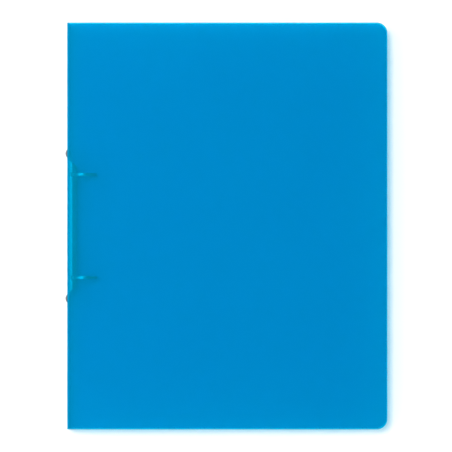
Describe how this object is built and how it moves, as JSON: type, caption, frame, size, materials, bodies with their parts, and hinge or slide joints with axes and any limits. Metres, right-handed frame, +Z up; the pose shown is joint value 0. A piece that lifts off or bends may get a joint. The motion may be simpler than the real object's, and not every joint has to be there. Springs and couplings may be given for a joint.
{
  "type": "ring binder",
  "caption": "Ring binder: a creased translucent plastic cover sheet whose covers fold about the spine, with a riveted round-ring mechanism that opens.",
  "frame": {"origin": "centre of the closed binder's footprint, on the surface that it lies on", "axes": "+X from the spine to the fore-edge, +Y from the foot to the head, +Z up through the thickness, from the rear cover to the front cover"},
  "size_m": [0.2496, 0.315, 0.026],
  "materials": {
    "cover_sheet": "fine-grained translucent blue polypropylene",
    "ring_wire": "bright nickel-plated wire",
    "housing_steel": "nickel-plated pressed steel",
    "blade_steel": "plain plated steel strip",
    "rivet_nickel": "nickel-plated, satin"
  },
  "bodies": {
    "spine": {"spine": "cover_sheet", "front_living_hinge": "cover_sheet", "rear_living_hinge": "cover_sheet", "ring_housing": "housing_steel", "upper_rivet": "rivet_nickel", "lower_rivet": "rivet_nickel"},
    "front_cover": {"front_cover": "cover_sheet"},
    "rear_cover": {"rear_cover": "cover_sheet"},
    "front_blade": {"front_blade": "blade_steel", "upper_ring_front_half": "ring_wire", "lower_ring_front_half": "ring_wire"},
    "rear_blade": {"rear_blade": "blade_steel", "upper_ring_rear_half": "ring_wire", "lower_ring_rear_half": "ring_wire"}
  },
  "joints": [
    {"name": "front_cover_hinge", "type": "hinge", "parent": "spine", "child": "front_cover", "pos_m": [-0.12275, 0, 0.0256], "axis": [0, -1, 0], "range_deg": [0, 179.9]},
    {"name": "rear_cover_hinge", "type": "hinge", "parent": "spine", "child": "rear_cover", "pos_m": [-0.12275, 0, 0.0004], "axis": [0, 1, 0], "range_deg": [0, 179.9]},
    {"name": "front_blade_pivot", "type": "hinge", "parent": "spine", "child": "front_blade", "pos_m": [-0.12075, 0, 0.0194], "axis": [0, -1, 0], "range_deg": [0, 9]},
    {"name": "rear_blade_pivot", "type": "hinge", "parent": "spine", "child": "rear_blade", "pos_m": [-0.12075, 0, 0.0066], "axis": [0, 1, 0], "range_deg": [0, 9]}
  ],
  "couplings": [
    {"joint": "rear_blade_pivot", "follows": "front_blade_pivot", "ratio": 1}
  ]
}
